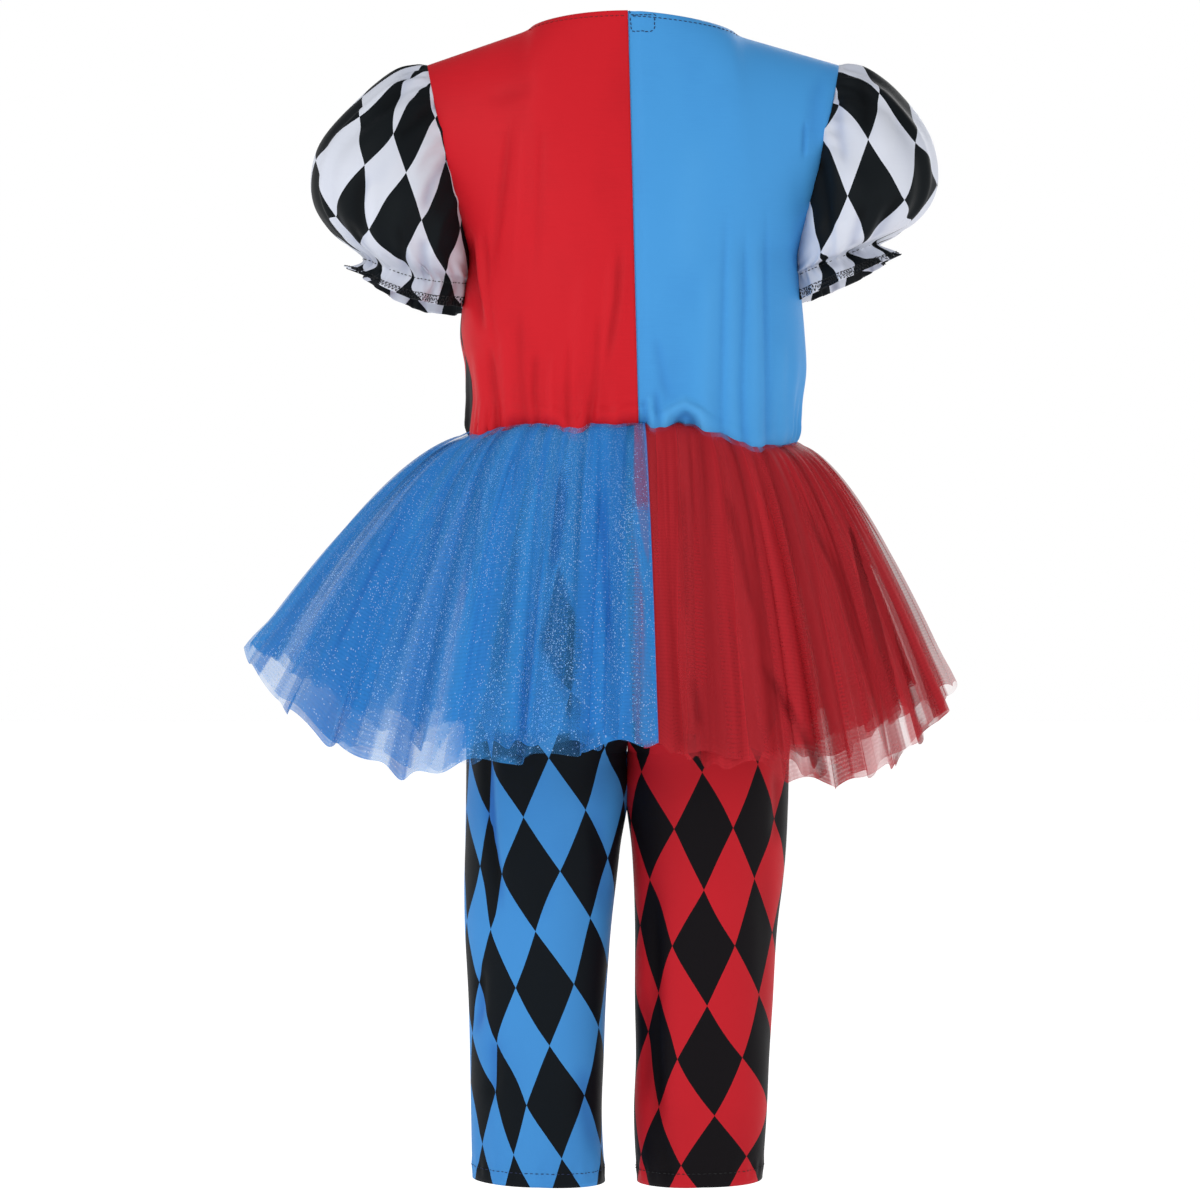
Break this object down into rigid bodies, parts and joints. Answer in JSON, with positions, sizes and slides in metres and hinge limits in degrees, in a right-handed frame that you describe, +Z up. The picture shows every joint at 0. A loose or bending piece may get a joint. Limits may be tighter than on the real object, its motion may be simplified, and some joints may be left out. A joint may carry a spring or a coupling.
{
  "type": "child's harlequin costume",
  "caption": "Filled-out toddler's harlequin costume: split red and blue satin bodice, puffed diamond-print sleeves, two-layer glitter tulle skirt and diamond-print trousers.",
  "frame": {"origin": "level with the neck ends of the shoulder seams, midway between the shoulders and between back and front, where the wearer's shoulders carry the garment", "axes": "+Z up along the standing wearer, +Y towards the wearer's front (the pictured back faces -Y), +X towards the wearer's right"},
  "size_m": [0.4168, 0.2572, 0.6801],
  "materials": {
    "red_satin": "red polyester satin knit",
    "blue_satin": "blue polyester satin knit",
    "red_black_print": "red satin printed with black diamonds",
    "blue_black_print": "blue satin printed with black diamonds",
    "white_black_print": "white satin printed with black diamonds",
    "blue_tulle": "blue glitter tulle, see-through",
    "red_tulle": "red tulle, see-through"
  },
  "bodies": {
    "root": {"back_left": "red_satin", "back_right": "blue_satin", "front_left": "red_black_print", "front_right": "blue_black_print", "closure_patch": "blue_satin", "sleeve_left": "white_black_print", "sleeve_right": "white_black_print", "trouser_left": "blue_black_print", "trouser_right": "red_black_print", "skirt_blue": "blue_tulle", "skirt_red": "red_tulle", "underskirt_blue": "blue_tulle", "underskirt_red": "red_tulle"}
  },
  "joints": []
}
